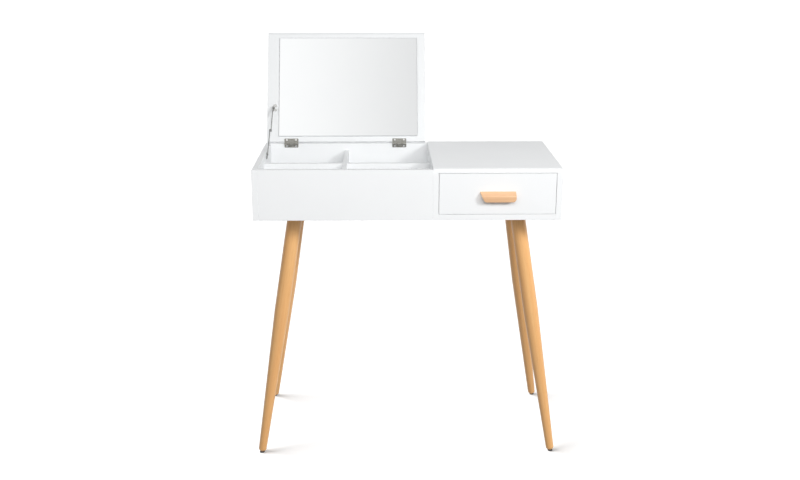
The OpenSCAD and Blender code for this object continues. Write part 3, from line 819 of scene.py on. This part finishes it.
@dataclass(frozen=True)
class Drawer:
    """The drawer with its pull, screws, dowels and slides."""

    boards: tuple[str, ...] = ("drawer_front", "drawer_left_side", "drawer_right_side",
                               "drawer_back", "drawer_bottom")
    pull_edge: float = 1.0 * MM
    pull_edge_steps: int = 3
    pull_edge_from_deg: float = 40.0
    pull_seed: float = 5.3
    same_point: float = 0.005 * MM
    same_plane_deg: float = 1.0

    def build(self) -> None:
        """Builds the pull and dresses the rest."""
        dress_each(self.boards, BOX_WHITE)
        dress_each(("drawer_dowels",), DOWEL_WOOD)
        dress_each(("pull_screws", "slide_left", "slide_right"), ZINC)
        dress_each(("slide_rollers",), NYLON)
        grip = self.pull_grip()
        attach(grip, "drawer")
        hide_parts("pull")
        LOG.info("%s: %d faces", grip.name, len(grip.data.polygons))

    def pull_grip(self) -> bpy.types.Object:
        """Builds the pull with its edges rounded over.

        Returns:
            The pull.
        """
        mesh = bmesh.new()
        mesh.from_mesh(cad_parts["pull"].data)
        bmesh.ops.remove_doubles(mesh, verts=mesh.verts, dist=self.same_point)
        bmesh.ops.dissolve_limit(mesh, angle_limit=math.radians(self.same_plane_deg),
                                 verts=mesh.verts, edges=mesh.edges)
        piece = new_object("pull_grip", mesh)
        soften = piece.modifiers.new("edges", "BEVEL")
        soften.width = self.pull_edge
        soften.segments = self.pull_edge_steps
        soften.limit_method = "ANGLE"
        soften.angle_limit = math.radians(self.pull_edge_from_deg)
        soften.harden_normals = True
        apply_modifiers(piece)
        piece.data.shade_smooth()
        piece.data.materials.clear()
        place = PieceFrame.of("pull")
        piece.data.materials.append(PULL_WOOD.make("pull_grip_finish", place, self.pull_seed))
        return piece


# ---------------------------------------------------------------- studio


class LampKind(Enum):
    """Kinds of lamp: a disc near the table, or far light that is even all over the floor."""

    DISC = "AREA"
    FAR = "SUN"


@dataclass(frozen=True)
class Lamp:
    """One soft lamp that points at the table.

    The azimuth counts from the front towards the right and the height above level, in degrees.
    The size is the diameter of a disc, or the angle that far light fills. Nodes whose names
    start with one of the spared words get none of its light. Where words are named as kept,
    nodes whose names start with them are the only ones that get it.
    """

    name: str
    kind: LampKind
    azimuth: float
    height: float
    size: float
    power: float
    spared: tuple[str, ...] = ()
    kept: tuple[str, ...] = ()
    distance: float = 3.4
    aim: Triple = (0.0, 0.0, 0.75)

    def build(self) -> bpy.types.Object:
        """Builds the lamp.

        Returns:
            The lamp.
        """
        turn, rise = math.radians(self.azimuth), math.radians(self.height)
        away = Vector((math.sin(turn) * math.cos(rise), -math.cos(turn) * math.cos(rise),
                       math.sin(rise)))
        data = bpy.data.lights.new(self.name, self.kind.value)
        data.energy = self.power
        if self.kind is LampKind.DISC:
            data.shape = "DISK"
            data.size = self.size
        else:
            data.angle = math.radians(self.size)
        lamp = bpy.data.objects.new(self.name, data)
        lamp.location = Vector(self.aim) + away * self.distance
        lamp.rotation_euler = away.to_track_quat("Z", "Y").to_euler()
        bpy.context.scene.collection.objects.link(lamp)
        LOG.info("%s", self.name)
        return lamp


def nodes_named(starts: tuple[str, ...]) -> list[bpy.types.Object]:
    """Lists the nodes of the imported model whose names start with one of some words."""
    return [node for name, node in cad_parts.items() if name.startswith(starts)]


def linked(name: str, objects: Iterable[bpy.types.Object],
           state: str = "INCLUDE") -> bpy.types.Collection:
    """Collects objects for the linking of a lamp's light.

    Args:
        name: name of the collection.
        objects: the objects.
        state: whether the light is kept to them or kept off them.

    Returns:
        The collection.
    """
    group = bpy.data.collections.new(name)
    for one in objects:
        group.objects.link(one)
    for entry in group.collection_objects:
        entry.light_linking.link_state = state
    return group


def grey(level: float) -> tuple[float, float, float, float]:
    """Gives an opaque grey."""
    return (level, level, level, 1.0)


@dataclass(frozen=True)
class Studio:
    """White floor and surroundings, lamps and camera."""

    ambient: float = 0.28
    floor_tone: float = 0.80
    floor_bounce: float = 0.28
    floor_lift: float = 0.36
    floor_size: float = 60.0
    lamps: tuple[Lamp, ...] = (
        Lamp("key_lamp", LampKind.DISC, 41.0, 24.0, 0.7, 48.0, ("leg_front",)),
        Lamp("front_lamp", LampKind.DISC, 8.0, 28.0, 1.5, 43.0,
             ("leg_front", "hinge_lid", "stay_lid")),
        Lamp("side_lamp", LampKind.DISC, -22.0, 28.0, 1.6, 14.0, ("leg_", "hinge_lid")),
        Lamp("left_lamp", LampKind.DISC, -72.0, 24.0, 1.3, 16.0, ("leg_",)),
        Lamp("right_lamp", LampKind.DISC, 105.0, 9.0, 1.6, 20.0),
        Lamp("rear_lamp", LampKind.DISC, -150.0, 14.0, 1.6, 8.0, ("leg_",)),
        Lamp("back_lamp", LampKind.DISC, 186.0, 7.0, 1.6, 38.0,
             kept=("back_panel", "lid_panel", "leg_rear", "right_side")),
        Lamp("top_lamp", LampKind.DISC, 0.0, 60.0, 1.6, 13.0, kept=("fixed_top",)),
        Lamp("leg_key_lamp", LampKind.DISC, 46.0, 30.0, 0.9, 55.0, kept=("leg_front",)),
        Lamp("leg_front_lamp", LampKind.DISC, 12.0, 32.0, 1.7, 46.0, kept=("leg_front",)),
    )
    floor_lamps: tuple[Lamp, ...] = (
        Lamp("floor_lamp_level", LampKind.FAR, -102.0, 60.0, 34.0, 2.3),
        Lamp("floor_lamp_rising", LampKind.FAR, -75.0, 52.0, 22.0, 0.55),
    )
    casting: tuple[str, ...] = ("leg_front", "leg_rear", "pad_")
    mirrored_span: Span = (-0.12, 0.10)
    mirrored_tone: Span = (1.0, 0.74)
    sensor: float = 36.0
    lens: float = 44.892
    shift: tuple[float, float] = (0.0088, -0.05)
    sight: float = 200.0
    place: Triple = (-0.06675, -2.71227, 1.3808)
    look_deg: Triple = (75.06, 0.0, -0.68)

    def build(self) -> None:
        """Builds the whole studio."""
        scene = bpy.context.scene
        scene.view_settings.view_transform = "Standard"
        floor = self.floor()
        self.surroundings(scene)
        always_spared = [floor, bpy.data.objects["mirror_plate"]]
        for lamp in self.lamps:
            light = lamp.build().light_linking
            if lamp.kept:
                light.receiver_collection = linked(f"{lamp.name}_lit", nodes_named(lamp.kept))
            else:
                spared = always_spared + nodes_named(lamp.spared)
                light.receiver_collection = linked(f"{lamp.name}_spared", spared, "EXCLUDE")
        for lamp in self.floor_lamps:
            light = lamp.build().light_linking
            light.receiver_collection = linked(f"{lamp.name}_lit", [floor])
            light.blocker_collection = linked(f"{lamp.name}_casting", nodes_named(self.casting))
        scene.camera = self.camera()

    def camera(self) -> bpy.types.Object:
        """Builds the camera.

        Returns:
            The camera.
        """
        data = bpy.data.cameras.new("camera")
        data.sensor_width = self.sensor
        data.lens = self.lens
        data.shift_x, data.shift_y = self.shift
        data.clip_end = self.sight
        camera = bpy.data.objects.new("camera", data)
        camera.location = self.place
        camera.rotation_euler = Euler([math.radians(a) for a in self.look_deg])
        bpy.context.scene.collection.objects.link(camera)
        return camera

    def floor(self) -> bpy.types.Object:
        """Builds the floor, which the camera and reflections see as white but for soft shadows.

        Returns:
            The floor.
        """
        mesh = bmesh.new()
        bmesh.ops.create_grid(mesh, x_segments=1, y_segments=1, size=self.floor_size / 2)
        floor = new_object("studio_floor", mesh)
        material = bpy.data.materials.new("studio_floor")
        material.use_nodes = True
        tree = Tree(material.node_tree)
        tree.clear()
        bounce = tree.add("ShaderNodeBsdfDiffuse")
        bounce.inputs["Color"].default_value = grey(self.floor_bounce)
        matt = tree.add("ShaderNodeBsdfDiffuse")
        matt.inputs["Color"].default_value = grey(self.floor_tone)
        glow = tree.add("ShaderNodeEmission")
        glow.inputs["Strength"].default_value = self.floor_lift
        white = tree.add("ShaderNodeAddShader")
        tree.join(matt.outputs[0], white.inputs[0])
        tree.join(glow.outputs[0], white.inputs[1])
        tree.finish_as("ShaderNodeOutputMaterial", bounce.outputs[0], white.outputs[0])
        floor.data.materials.append(material)
        return floor

    def surroundings(self, scene: bpy.types.Scene) -> None:
        """Builds the white surroundings, which reflections see a little darker to the right.

        Args:
            scene: the scene.
        """
        world = bpy.data.worlds.new("studio")
        scene.world = world
        world.use_nodes = True
        tree = Tree(world.node_tree)
        tree.clear()
        ambient = tree.add("ShaderNodeBackground")
        ambient.inputs["Strength"].default_value = self.ambient
        seen = tree.add("ShaderNodeBackground")
        towards = tree.add("ShaderNodeTexCoord")
        split = tree.add("ShaderNodeSeparateXYZ")
        tree.join(towards.outputs["Generated"], split.inputs[0])
        shade = tree.spread(split.outputs["X"], self.mirrored_span, self.mirrored_tone,
                            "SMOOTHSTEP")
        path = tree.add("ShaderNodeLightPath")
        tone = tree.calc("MAXIMUM", path.outputs["Is Camera Ray"], shade)
        tree.join(tone, seen.inputs["Color"])
        tree.finish_as("ShaderNodeOutputWorld", ambient.outputs[0], seen.outputs[0])


def main() -> None:
    """Builds the table's parts and the studio in order."""
    logging.basicConfig(level=logging.INFO, format="%(name)s: %(message)s")
    for part in (Box(), Legs(), Lid(), Drawer(), Studio()):
        LOG.info("building %s", type(part).__name__)
        part.build()


if __name__ == "__main__":
    main()
